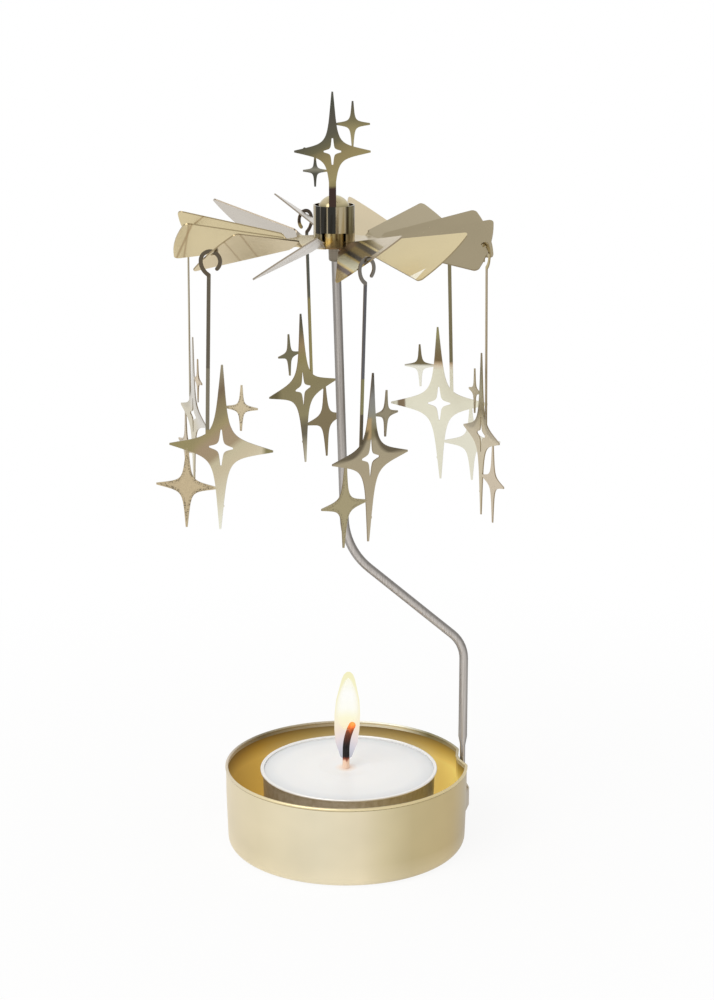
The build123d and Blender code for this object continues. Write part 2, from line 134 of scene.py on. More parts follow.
def radius_of(tree, place, origin):
    """Distance in millimetres from an upright axis."""
    offset = add(tree, "ShaderNodeVectorMath", {0: place, 1: origin}, operation="SUBTRACT")
    flat = (1 / MM, 1 / MM, 0)
    level = add(tree, "ShaderNodeVectorMath", {0: offset, 1: flat}, operation="MULTIPLY")
    return add(tree, "ShaderNodeVectorMath", {0: level}, operation="LENGTH")


# Pattern scales, in repeats per metre, each from a real size: clouds of 11 mm in the plating, a wave of
# 14 mm in thin sheet and in the cup's tone, rolling lines of 0.4 mm (drawn coarser than the real 0.05 mm so
# that they show), sand of 0.25 mm, satin of 0.7 mm, die lines of 0.28 mm, lathe rings of 0.2 mm, dents of
# 1.1 mm in foil, mottle of 4 mm in wax, and strands of 0.4 mm in a wick's braid
CLOUD = 90.0
WAVE = 70.0
ROLLING = (2500.0, 2500.0, 60.0)
SAND_GRAIN = 4000.0
SATIN = 1400.0
DIE_LINES = (3600.0, 3600.0, 45.0)
LATHE_RINGS = (60.0, 60.0, 5000.0)
FOIL_DENTS = 900.0
WAX_MOTTLE = 260.0
BRAID = (2600.0, 2600.0, 700.0)
# tone of a cut edge, and the share of it that shows
CUT_TONE = "77654A"
CUT_SHARE = 0.6
# how far the clouds in the plating darken and lighten its tone
CLOUD_SHADES = (0.94, 1.05)


def rolled_metal(tree, place, colour, roughness, grain, wave, cut_normal=None, cut_span=(0.35, 0.6)):
    """Finish of rolled sheet: fine rolling lines in its gloss, faint clouds in its tone, a slight wave, and
    a browner cut edge where the sheet's own normal is given."""
    cloud = add(tree, "ShaderNodeTexNoise", {"Vector": place, "Scale": CLOUD, "Detail": 3.0})
    shade = add(
        tree, "ShaderNodeMapRange", {"Value": cloud, "To Min": CLOUD_SHADES[0], "To Max": CLOUD_SHADES[1]}
    )
    tone = add(tree, "ShaderNodeVectorMath", {0: colour, "Scale": shade}, operation="SCALE")
    if cut_normal is not None:
        facing = add(tree, "ShaderNodeTexCoord").outputs["Normal"]
        turned = add(
            tree, "ShaderNodeVectorMath", {0: facing, 1: Vector(cut_normal)}, operation="DOT_PRODUCT"
        )
        square = add(tree, "ShaderNodeMath", {0: turned}, operation="ABSOLUTE")
        edge = add(
            tree,
            "ShaderNodeMapRange",
            {
                "Value": square, "From Min": cut_span[0], "From Max": cut_span[1],
                "To Min": CUT_SHARE, "To Max": 0.0,
            },
        )
        tone = add(tree, "ShaderNodeMix", {"Factor": edge, 6: tone, 7: linear(CUT_TONE)}, data_type="RGBA")
    stretched = add(tree, "ShaderNodeMapping", {"Vector": place, "Scale": ROLLING})
    lines = add(tree, "ShaderNodeTexNoise", {"Vector": stretched, "Scale": 1.0, "Detail": 2.0})
    rough = add(
        tree,
        "ShaderNodeMapRange",
        {"Value": lines, "To Min": roughness - grain, "To Max": roughness + grain},
    )
    wide = add(tree, "ShaderNodeTexNoise", {"Vector": place, "Scale": WAVE, "Detail": 1.0})
    bump = add(tree, "ShaderNodeBump", {"Height": wide, "Strength": wave, "Distance": 0.2 * MM})
    surface = add(
        tree,
        "ShaderNodeBsdfPrincipled",
        {"Base Color": tone, "Metallic": 1.0, "Roughness": rough, "Normal": bump},
    )
    add(tree, "ShaderNodeOutputMaterial", {"Surface": surface})


# Studio: a white sweep, a soft world that is dimmer on the right, behind and overhead, and one soft lamp

# how much of the white background polished sheet mirrors
MIRRORED_SHARE = 0.6
FLOOR_RADIUS = 520 * MM
# the floor's shadow fades out between these distances, in millimetres, from this share of white up to all
SHADOW_SPAN = (45.0, 200.0)
SHADOW_WHITE = 0.88
# rise of a direction between which the tones of the sides go over into those overhead
OVERHEAD_SPAN = (0.1, 0.35)
LAMP_PLACE = (-0.5, -0.55, 0.85)
LAMP_AIM = (0, 0, 0.06)
LAMP_SIZE = 0.8
LAMP_WATTS = 4.0


def background_share(tree):
    """1 for rays that show the white background to the camera or through a clear piece, and a lower share for
    rays that a metal mirrors, so that polished sheet keeps some modelling from the studio."""
    path = add(tree, "ShaderNodeLightPath")
    glossy = path.outputs["Is Glossy Ray"]
    mirrored = add(tree, "ShaderNodeMath", {0: glossy, 1: MIRRORED_SHARE}, operation="MULTIPLY")
    direct = add(
        tree,
        "ShaderNodeMath",
        {0: path.outputs["Is Camera Ray"], 1: path.outputs["Is Transmission Ray"]},
        operation="MAXIMUM",
    )
    return add(tree, "ShaderNodeMath", {0: direct, 1: mirrored}, operation="MAXIMUM")


def studio_world():
    """Surroundings that light the object: bright in front, dimmer at the right and overhead."""
    world = bpy.data.worlds.new("studio")
    bpy.context.scene.world = world
    world.use_nodes = True
    tree = world.node_tree
    tree.nodes.clear()
    place = add(tree, "ShaderNodeTexCoord").outputs["Generated"]
    split = add(tree, "ShaderNodeSeparateXYZ", {0: place})
    turn = azimuth_of(tree, place, (0, 0, 0))
    side = ramp_over(tree, turn, (
        (-180, "E6E6E6"), (-140, "E9E9E8"), (-70, "F7F7F7"), (-15, "FFFFFF"), (40, "F4F3F1"),
        (75, "B9B4AC"), (105, "A9A49B"), (150, "D9D6D1"), (180, "E6E6E6"),
    ))
    top = ramp_over(tree, split.outputs["Z"], (
        (0.0, "FFFFFF"), (0.3, "EAEAEA"), (0.69, "EFEFEE"), (0.84, "C6C2BC"), (0.93, "B0ABA4"),
        (1.0, "B8B4AE"),
    ))
    lifted = add(
        tree,
        "ShaderNodeMapRange",
        {"Value": split.outputs["Z"], "From Min": OVERHEAD_SPAN[0], "From Max": OVERHEAD_SPAN[1]},
    )
    around = add(tree, "ShaderNodeMix", {"Factor": lifted, 6: side, 7: top}, data_type="RGBA")
    lit = add(tree, "ShaderNodeBackground", {"Color": around, "Strength": 1.0})
    white = add(tree, "ShaderNodeBackground", {"Color": (1, 1, 1, 1), "Strength": 1.0})
    seen = background_share(tree)
    shown = add(tree, "ShaderNodeMixShader", {0: seen, 1: lit, 2: white})
    add(tree, "ShaderNodeOutputWorld", {"Surface": shown})


def sweep_paper():
    """Matt white card of a photo sweep: white to the camera, with the object's soft shadow left in it."""
    material, tree, place = new_material("matt_white_card")
    distance = radius_of(tree, place, (0, 0, 0))
    fading = add(
        tree,
        "ShaderNodeMapRange",
        {"Value": distance, "From Min": SHADOW_SPAN[0], "From Max": SHADOW_SPAN[1], "To Min": SHADOW_WHITE},
    )
    card = add(tree, "ShaderNodeBsdfDiffuse", {"Color": linear("F4F4F4"), "Roughness": 0.6})
    shine = add(tree, "ShaderNodeEmission", {"Color": (1, 1, 1, 1), "Strength": 1.0})
    seen = background_share(tree)
    share = add(tree, "ShaderNodeMath", {0: seen, 1: fading}, operation="MULTIPLY")
    shown = add(tree, "ShaderNodeMixShader", {0: share, 1: card, 2: shine})
    add(tree, "ShaderNodeOutputMaterial", {"Surface": shown})
    return material


def sweep_floor():
    """Round floor under the object, which belongs to the studio and not to the part."""
    mesh = bpy.data.meshes.new("floor")
    shape = bmesh.new()
    bmesh.ops.create_circle(shape, cap_ends=True, segments=96, radius=FLOOR_RADIUS)
    shape.to_mesh(mesh)
    shape.free()
    floor = bpy.data.objects.new("floor", mesh)
    floor.data.materials.append(sweep_paper())
    bpy.context.scene.collection.objects.link(floor)


def soft_lamp(name, place, aim, size, watts):
    """Round area lamp, turned towards a point."""
    lamp = bpy.data.lights.new(name, "AREA")
    lamp.shape = "DISK"
    lamp.size = size
    lamp.energy = watts
    holder = bpy.data.objects.new(name, lamp)
    holder.location = place
    holder.rotation_euler = (Vector(aim) - Vector(place)).to_track_quat("-Z", "Y").to_euler()
    bpy.context.scene.collection.objects.link(holder)


# Camera, fitted to the photograph's frame of 714 by 1000 pixels

FRAME_HEIGHT = 1000
SENSOR = 36.0
FOCAL_PIXELS = 2283.5
CAMERA_PLACE = (2.29 * MM, -465.7 * MM, 201.0 * MM)
CAMERA_PITCH = 0.26


def photo_camera():
    """Camera that sees the object as the photograph does."""
    data = bpy.data.cameras.new("camera")
    data.sensor_width = SENSOR
    data.lens = FOCAL_PIXELS * SENSOR / FRAME_HEIGHT
    data.clip_start = 10 * MM
    data.clip_end = 20
    camera = bpy.data.objects.new("camera", data)
    camera.location = CAMERA_PLACE
    camera.rotation_euler = (math.pi / 2 - CAMERA_PITCH, 0, 0)
    bpy.context.scene.collection.objects.link(camera)
    bpy.context.scene.camera = camera


# Pendants: die-cut stars of polished champagne-plated sheet, each with painted reflections of what it mirrors

# a pendant's lean off upright, in degrees, and its big star's place from the ring, in millimetres
PENDANT_LEAN = 1.575
STAR_SHIFT = 2.55
STAR_DROP = 37.4
BIG_STAR = ((0, 0, 0), (10.7, 16.9, 1))
UPPER_STAR = ((4.05, 8.4, 0), (3.4, 4.65, 1))
LOWER_STAR = ((-7.0, -8.45, 0), (6.4, 8.6, 1))
# exponent at which the sum of a point's shares of the two arms is 1 along a star's bowed sides
STAR_BOW = 0.45
# spans in the big star's own axes: the stem's across, and the ring's across and along
STEM = (-3.4, -2.3)
RING = (-6, 1, 34.3, 42)
# dark line just inside a big star's upper edges: its reach in the star's field, its span in height, its tone
EDGE_LINE = (0.85, 0.95)
EDGE_LINE_SPAN = (0.2, 5.5)
EDGE_LINE_TONE = "5A5140"
# sand on the small stars: the spread of the noise it is cut from, its depth, and the dashes along the edges
SAND_SPREAD = (0.35, 0.65)
SAND_DEPTH = 0.07
DASH_SPAN = (0.9, 1.1)
DASH_BREAK = 0.53
DASH_SHARE = 0.9
DASH_TONE = "4A4236"
# pendant_3's upper small star has a painted dark reflection between these heights over the big star's middle
DARK_HALF = (8.5, 14)
DARK_HALF_TONE = "756B50"
# per pendant: the slope that its run of painted reflection tones follows in its own plane, the run by
# distance from the big star's middle, patches of painted reflection laid over it, the painted reflection
# tones of its two small stars, and how much edge line, sand and extra lean it has
PENDANT_TONES = {
    # front left: dark above, pale below and to the right, parted along a slope
    "pendant_6": {
        "slope": (-0.65, 0.76),
        "run": (
            (-13, "F3F3E2"), (-8, "DAD2B8"), (-4, "CEC1A4"), (-1.8, "C8BEA0"), (-0.6, "A8967A"),
            (2, "A8947A"), (3.6, "A2946E"), (5, "948866"), (7, "8C7E60"), (9, "7C6C56"), (13, "A09880"),
        ),
        "patches": (
            (8.8, 11, -2, 2, 0.5, "8C8560"),
            (-11, -5.8, -2, 2, 0.9, "9C9169"),
            (*STEM, 3.5, 30, 0.08, "817A69"),
            (*STEM, 16, 41, 0.08, "665F52"),
            (*RING, 0.1, "5F5648"),
        ),
        "small": ("CCBD9E", "C8B694"),
        "rim": 0.0,
        "speckle": 0.75,
        "sway": -0.1,
    },
    # front right: a steel-dark top arm over a tan body, with a dark line inside its upper edges
    "pendant_1": {
        "slope": (0, 1),
        "run": (
            (-17, "B8AC94"), (-4, "B0A388"), (3.2, "ABA086"), (4.3, "8A8064"), (5.5, "837B5C"),
            (7.5, "96917C"), (9.5, "94938A"), (12, "8D8C88"), (14, "6F6C64"), (17, "4F4A42"),
        ),
        "patches": (
            (-1.6, -0.1, 3.8, 8.0, 0.3, "B59C73"),
            (*STEM, 3.0, 9, 0.08, "5A5344"),
            (*STEM, 9, 16, 0.08, "8A8560"),
            (*STEM, 16, 41, 0.08, "66666A"),
            (*RING, 0.1, "7F7B74"),
        ),
        "small": ("988F78", "ABA07E"),
        "rim": 0.85,
        "speckle": 0.45,
        "sway": 0.6,
    },
    # back left: olive, going dark towards its two upright tips
    "pendant_4": {
        "slope": (0, 1),
        "run": (
            (-17, "C8C2AC"), (-13, "A39C86"), (-10.5, "6E6858"), (-8.5, "746C56"), (-6, "948B68"),
            (-3, "908666"), (1, "8E8462"), (5, "9A8F68"), (7, "988C60"), (10, "A08A68"), (13.5, "6E6752"),
            (17, "55554F"),
        ),
        "patches": (
            (7.6, 11, -2, 2, 0.9, "6C6448"),
            (*STEM, 3.5, 22, 0.08, "998F63"),
            (*STEM, 20, 41, 0.4, "60625A"),
            (*RING, 0.1, "4F463E"),
            (-1.3, 1, 34.3, 36.9, 0.2, "B8A878"),
        ),
        "small": ("7C775E", "85785C"),
        "rim": 0.0,
        "speckle": 0.0,
        "sway": 0.7,
    },
    # back right: nearly white, with a dark top that stops short and a dark bar on one arm
    "pendant_3": {
        "slope": (0, 1),
        "run": (
            (-17, "E6E3D0"), (-4, "E9E6D2"), (7.4, "E6E2CC"), (8.3, "DDCFB8"), (8.9, "BFA98A"),
            (9.5, "7E6C50"), (11, "7D6E52"), (13.5, "877E60"), (15.5, "9A9468"), (17, "8A845E"),
        ),
        "patches": (
            (7.5, 9.2, -2, 2, 0.2, "8C7A62"),
            (*STEM, 9.2, 41, 0.1, "7E765A"),
            (*RING, 0.1, "6E6650"),
            (2.3, 3.3, 7.7, 8.3, 0.15, "9C866C"),
        ),
        "small": ("ECEADC", "E9E6D4"),
        "rim": 0.0,
        "speckle": 0.0,
        "sway": 0.0,
    },
    # right edge, seen nearly edge on: pinkish tan
    "pendant_2": {
        "slope": (0, 1),
        "run": (
            (-17, "C6B898"), (-6, "C6B898"), (0, "CEC0A2"), (4, "C4B58E"), (9, "A8A07C"), (17, "8C8468"),
        ),
        "patches": (
            (*STEM, 3.5, 41, 0.08, "B3A486"),
            (*RING, 0.1, "BBAA78"),
        ),
        "small": ("C2B492", "CBBBA0"),
        "rim": 0.35,
        "speckle": 0.0,
        "sway": 0.2,
    },
    # left edge, seen nearly edge on: silver above, tan below
    "pendant_5": {
        "slope": (0.5, 0.86),
        "run": (
            (-16, "C9BC98"), (-5, "CFC5A8"), (-1, "CCC2A6"), (2, "D2CCC0"), (6, "D5D2CC"), (17, "C9C3B4"),
        ),
        "patches": (
            (*STEM, 3.5, 41, 0.08, "B5AB8F"),
            (*RING, 0.1, "B5A98A"),
        ),
        "small": ("CDB793", "C8B491"),
        "rim": 0.2,
        "speckle": 0.8,
        "sway": -0.1,
    },
}


def star_field(tree, flat, star):
    """Below 1 inside a star with bowed sides, 1 along them, and above 1 outside."""
    centre, size = star
    offset = add(tree, "ShaderNodeVectorMath", {0: flat, 1: centre}, operation="SUBTRACT")
    plain = add(tree, "ShaderNodeVectorMath", {0: offset}, operation="ABSOLUTE")
    shares = add(tree, "ShaderNodeVectorMath", {0: plain, 1: size}, operation="DIVIDE")
    split = add(tree, "ShaderNodeSeparateXYZ", {0: shares})
    wide = add(tree, "ShaderNodeMath", {0: split.outputs["X"], 1: STAR_BOW}, operation="POWER")
    tall = add(tree, "ShaderNodeMath", {0: split.outputs["Y"], 1: STAR_BOW}, operation="POWER")
    return add(tree, "ShaderNodeMath", {0: wide, 1: tall}, operation="ADD")


def within(tree, field, other):
    """1 where one star's field is the lower of two."""
    return add(tree, "ShaderNodeMath", {0: field, 1: other}, operation="LESS_THAN")


def pendant_sheet(node, tones):
    """Stamped and polished champagne-plated steel: a soft mirror, whose flat faces carry painted reflections
    as broad runs of dark and pale and whose small stars have a fine sandy grain."""
    material, tree, place = new_material(f"polished_champagne_sheet_{node}")
    joint = joints[f"{node}_swing"]
    ring = Vector(joint["pos_m"])
    square = Vector(joint["axis"])
    level = Vector((square.y, -square.x, 0))
    lean = math.radians(PENDANT_LEAN + tones["sway"])
    across = level * math.cos(lean) - UP * math.sin(lean)
    rising = level * math.sin(lean) + UP * math.cos(lean)
    star = ring + (across * STAR_SHIFT - rising * STAR_DROP) * MM
    u = reach(tree, place, star, across)
    w = reach(tree, place, star, rising)
    flat = add(tree, "ShaderNodeCombineXYZ", {"X": u, "Y": w})
    big = star_field(tree, flat, BIG_STAR)
    upper = star_field(tree, flat, UPPER_STAR)
    lower = star_field(tree, flat, LOWER_STAR)

    slope = tones["slope"]
    along = reach(tree, place, star, across * slope[0] + rising * slope[1])
    # painted reflections: the run of dark and pale tones, and the patches laid over it
    colour = ramp_over(tree, along, tones["run"])
    colour = paint_patches(tree, colour, u, w, tones["patches"])

    # a dark line just inside the upper edges of the large star
    inside = add(
        tree, "ShaderNodeMapRange", {"Value": big, "From Min": EDGE_LINE[0], "From Max": EDGE_LINE[1]}
    )
    upward = band(tree, w, *EDGE_LINE_SPAN, 0.4)
    line = add(tree, "ShaderNodeMath", {0: inside, 1: upward}, operation="MULTIPLY")
    line = add(tree, "ShaderNodeMath", {0: line, 1: tones["rim"]}, operation="MULTIPLY")
    colour = add(
        tree, "ShaderNodeMix", {"Factor": line, 6: colour, 7: linear(EDGE_LINE_TONE)}, data_type="RGBA"
    )

    # the two small stars, in painted reflection tones
    for field, code in ((upper, tones["small"][0]), (lower, tones["small"][1])):
        own = within(tree, field, big)
        colour = add(tree, "ShaderNodeMix", {"Factor": own, 6: colour, 7: linear(code)}, data_type="RGBA")
    # painted dark reflection over pendant_3's upper small star
    if node == "pendant_3":
        dark_half = band(tree, w, *DARK_HALF, 0.25)
        own = within(tree, upper, big)
        share = add(tree, "ShaderNodeMath", {0: dark_half, 1: own}, operation="MULTIPLY")
        colour = add(
            tree, "ShaderNodeMix", {"Factor": share, 6: colour, 7: linear(DARK_HALF_TONE)}, data_type="RGBA"
        )

    # sandy grain of 0.25 mm on the small stars, and broken dark dashes along their edges
    small = add(tree, "ShaderNodeMath", {0: upper, 1: lower}, operation="MINIMUM")
    own = within(tree, small, big)
    grain = add(tree, "ShaderNodeTexNoise", {"Vector": place, "Scale": SAND_GRAIN, "Detail": 1.0})
    sand = add(
        tree,
        "ShaderNodeMapRange",
        {"Value": grain, "From Min": SAND_SPREAD[0], "From Max": SAND_SPREAD[1], "To Min": -1.0},
    )
    deep = add(tree, "ShaderNodeMath", {0: own, 1: SAND_DEPTH * tones["speckle"]}, operation="MULTIPLY")
    lighter = add(tree, "ShaderNodeMath", {0: sand, 1: deep, 2: 1.0}, operation="MULTIPLY_ADD")
    colour = add(tree, "ShaderNodeVectorMath", {0: colour, "Scale": lighter}, operation="SCALE")
    outline = band(tree, small, *DASH_SPAN, 0.04)
    broken = add(tree, "ShaderNodeMath", {0: grain, 1: DASH_BREAK}, operation="GREATER_THAN")
    dash = add(tree, "ShaderNodeMath", {0: outline, 1: broken}, operation="MULTIPLY")
    dash = add(tree, "ShaderNodeMath", {0: dash, 1: own}, operation="MULTIPLY")
    dash = add(tree, "ShaderNodeMath", {0: dash, 1: DASH_SHARE * tones["speckle"]}, operation="MULTIPLY")
    colour = add(tree, "ShaderNodeMix", {"Factor": dash, 6: colour, 7: linear(DASH_TONE)}, data_type="RGBA")
    rolled_metal(tree, place, colour, roughness=0.2, grain=0.03, wave=0.1, cut_normal=square)
    return material


# Rotor: the wheel, its cap and the topper

PIVOT = Vector((-2.4, 0, 131.9)) * MM
# five painted reflection tones of champagne plating, which the blades share
OLIVE_GOLD = "A08C60"
KHAKI = "B0A488"
SAND = "D2C098"
STONE = "C6BEB2"
PALE_GOLD = "DACAA0"
# painted reflection tone of each blade in turn, from the one at the front towards the right
BLADE_REFLECTIONS = (
    OLIVE_GOLD, PALE_GOLD, KHAKI, KHAKI, KHAKI, SAND, STONE, STONE, PALE_GOLD, PALE_GOLD, SAND, STONE,
)
# each streak: its blade, its skew across the blade, its place along it, its half width and its colour
HOOK_STREAKS = (
    (10, 1.09, 26.6, 0.22, "B29A6C"),
    (10, 1.07, 21.7, 0.22, "B29A6C"),
    (9, -0.085, 31.07, 0.16, "A88C5E"),
    (9, 0.051, 30.52, 0.12, "A88C5E"),
    (8, -0.91, 32.9, 0.2, "B59C70"),
    (11, 0.6, 22.0, 0.35, "A8967C"),
)
# the front blade's azimuth, the step to the next and the tilt of a blade, in degrees
FIRST_BLADE = 12.9
BLADE_STEP = 30.0
BLADE_TILT = 33.0
# radii in millimetres between which the flat plate goes over into the blades, and the blades' own span
PLATE_EDGE = (9.8, 10.3)
BLADE_SPAN = (11.0, 33.0)
# painted reflection patches on the front blade: its pale outer corner, and its brown root
FRONT_PATCHES = ((30.7, 34, 0.6, 9, 0.3, "CDBEA2"), (9, 15.5, -2.2, 2.2, 0.5, "7A5530"))
# lit corner of the next blade, a triangle: a point of each side, and the way in from it, along and across
LIT_CORNER = (
    ((28.6, -6.9), (3.0, -1.9)),
    ((30.5, -3.9), (-3.5, -0.3)),
    ((28.6, -6.9), (0.5, 2.2)),
)
LIT_CORNER_TONE = "FFFCF0"
# a face of the wheel is a cut edge below the first of these shares of facing up, and sheet past the second
BLADE_CUT_SPAN = (0.64, 0.72)


def blade_axes(index):
    """Direction out along a blade, which is level, and the one across it, which follows its tilt."""
    turn = math.radians(FIRST_BLADE + index * BLADE_STEP)
    out = Vector((math.sin(turn), -math.cos(turn), 0))
    side = Vector((math.cos(turn), math.sin(turn), 0))
    tilt = math.radians(BLADE_TILT)
    return out, side * math.cos(tilt) + UP * math.sin(tilt)


def on_blade(tree, turn, index):
    """1 on one blade's sector of the wheel."""
    middle = FIRST_BLADE + index * BLADE_STEP
    if middle > 180:
        middle -= FULL_TURN
    half = BLADE_STEP / 2
    return band(tree, turn, middle - half, middle + half, 0.01)


def wheel_sheet():
    """Laser-cut and polished champagne-plated steel: each blade is a soft mirror with its own painted
    reflection tone, the front one carries a painted reflection of the collar, those on the left painted
    reflections of the pendants' hooks, the next one a painted highlight on its corner, and the plate a
    painted reflection of the collar's foot."""
    material, tree, place = new_material("polished_champagne_sheet_wheel")
    turn = azimuth_of(tree, place, PIVOT)
    radius = radius_of(tree, place, PIVOT)
    round_turn = add(tree, "ShaderNodeMath", {0: turn, 1: BLADE_STEP / 2 - FIRST_BLADE}, operation="ADD")
    wrapped = add(tree, "ShaderNodeMath", {0: round_turn, 1: FULL_TURN, 2: 0.0}, operation="WRAP")
    share = add(tree, "ShaderNodeMath", {0: wrapped, 1: FULL_TURN}, operation="DIVIDE")
    # painted reflection tone of each blade, by its sector of the wheel
    stops = [(index / len(BLADE_REFLECTIONS), code) for index, code in enumerate(BLADE_REFLECTIONS)]
    tones = add(tree, "ShaderNodeValToRGB", {0: share}, stops=stops)
    tones.color_ramp.interpolation = "CONSTANT"
    outward = add(
        tree,
        "ShaderNodeMapRange",
        {
            "Value": radius, "From Min": BLADE_SPAN[0], "From Max": BLADE_SPAN[1],
            "To Min": 0.96, "To Max": 1.03,
        },
    )
    colour = add(tree, "ShaderNodeVectorMath", {0: tones, "Scale": outward}, operation="SCALE")

    # the flat plate: gold at the front, where it mirrors the collar's foot
    plate = ramp_over(tree, turn, (
        (-180, "CDC09C"), (-60, "D3C496"), (-32, "E8C766"), (-14, "F0CC5C"), (-6, "8A6238"),
        (6, "6F563A"), (30, "8C6E48"), (60, "BDAE8C"), (100, "D2C4A8"), (180, "CDC09C"),
    ))
    inner = add(
        tree, "ShaderNodeMapRange", {"Value": radius, "From Min": PLATE_EDGE[1], "From Max": PLATE_EDGE[0]}
    )
    colour = add(tree, "ShaderNodeMix", {"Factor": inner, 6: colour, 7: plate}, data_type="RGBA")

    # the front blade mirrors the collar, as bars along the blade
    out, across = blade_axes(0)
    v = reach(tree, place, PIVOT, across)
    u = reach(tree, place, PIVOT, out)
    mirrored = ramp_over(tree, v, (
        (-8, "D0B878"), (-4.9, "D0B878"), (-4.5, "583818"), (-3.9, "583818"), (-3.5, "FFE08A"),
        (-3.0, "FFF8D2"), (-1.6, "FFF8D2"), (-1.1, "E8C868"), (-0.8, "3C2C18"), (-0.2, "3C2C18"),
        (0.2, "A08848"), (1.3, "A08848"), (1.7, "40301C"), (2.6, "40301C"), (2.8, "F0DCA0"),
        (3.1, "F0DCA0"), (3.3, "8A7440"), (4.2, "A89458"), (4.6, "CFC0A4"), (9, "D3C5AA"),
    ))
    mirrored = paint_patches(tree, mirrored, u, v, FRONT_PATCHES)
    front = on_blade(tree, turn, 0)
    outside = add(
        tree, "ShaderNodeMapRange", {"Value": radius, "From Min": PLATE_EDGE[0], "From Max": PLATE_EDGE[1]}
    )
    share = add(tree, "ShaderNodeMath", {0: front, 1: outside}, operation="MULTIPLY")
    colour = add(tree, "ShaderNodeMix", {"Factor": share, 6: colour, 7: mirrored}, data_type="RGBA")

    # thin brown streaks, where the blades on the left mirror the hooks
    for index, skew, at, half, code in HOOK_STREAKS:
        out, across = blade_axes(index)
        u = reach(tree, place, PIVOT, out)
        v = reach(tree, place, PIVOT, across)
        sheared = add(tree, "ShaderNodeMath", {0: v, 1: -skew, 2: u}, operation="MULTIPLY_ADD")
        streak = band(tree, sheared, at - half, at + half, 0.2)
        own = on_blade(tree, turn, index)
        share = add(tree, "ShaderNodeMath", {0: streak, 1: own}, operation="MULTIPLY")
        colour = add(tree, "ShaderNodeMix", {"Factor": share, 6: colour, 7: linear(code)}, data_type="RGBA")

    # the lit corner of the blade beside the front one
    out, across = blade_axes(1)
    inside = 1.0
    for start, inward in LIT_CORNER:
        corner = PIVOT + (out * start[0] + across * start[1]) * MM
        depth = reach(tree, place, corner, out * inward[0] + across * inward[1])
        share = add(tree, "ShaderNodeMapRange", {"Value": depth, "From Min": -0.1, "From Max": 0.1})
        inside = add(tree, "ShaderNodeMath", {0: inside, 1: share}, operation="MULTIPLY")
    own = on_blade(tree, turn, 1)
    share = add(tree, "ShaderNodeMath", {0: inside, 1: own}, operation="MULTIPLY")
    colour = add(
        tree, "ShaderNodeMix", {"Factor": share, 6: colour, 7: linear(LIT_CORNER_TONE)}, data_type="RGBA"
    )
    rolled_metal(
        tree, place, colour, roughness=0.26, grain=0.03, wave=0.06, cut_normal=UP, cut_span=BLADE_CUT_SPAN
    )
    return material


TOPPER_STAR = Vector((-2.65, 0, 150.7)) * MM
# heights over the pivot in millimetres: the collar's top, and the span of the foot that shows in its notch
COLLAR_TOP = 7.58
FOOT_SPAN = (-1, 1.95)
# the strip from the star down to the collar, from the star's middle
STRIP_HEIGHT = (-20, -7.2)
STRIP_WIDTH = (-0.8, 0.8)
# the strip's tone, a painted dark reflection
STRIP_TONE = "43342F"
# way up and to the left in the star's plane, along which its painted reflection tones run
TOPPER_SLOPE = (-0.45, 0, 0.89)
TOPPER_BIG = ((0, 0, 0), (7.7, 11.9, 1))
TOPPER_UPPER = ((4.05, 5.5, 0), (3.5, 4.55, 1))
TOPPER_LOWER = ((-3.5, -3.85, 0), (2.45, 3.2, 1))
# heights over the pivot between which the cap goes over from the painted light and shade in the notch to its
# own tone
NOTCH_SPAN = (2.5, 3.0)
SMOKE = "353430"
OLIVE_SHADE = "4A4230"
# upright bars that the rolled collar mirrors, by azimuth: dark across the front with two thin lighter
# lines, warm at the right and edged in olive
COLLAR_BANDS = (
    (-180, SAND), (-63, KHAKI), (-60, SMOKE), (-43, SMOKE), (-40, "747068"), (-37, SMOKE), (-21, SMOKE),
    (-19, KHAKI), (-18, KHAKI), (-16, SMOKE), (4, SMOKE), (7, KHAKI), (32, KHAKI), (38, OLIVE_SHADE),
    (43, OLIVE_SHADE), (46, "80785A"), (60, "80785A"), (66, "6C6448"), (90, "786C4A"), (100, SAND),
    (180, SAND),
)


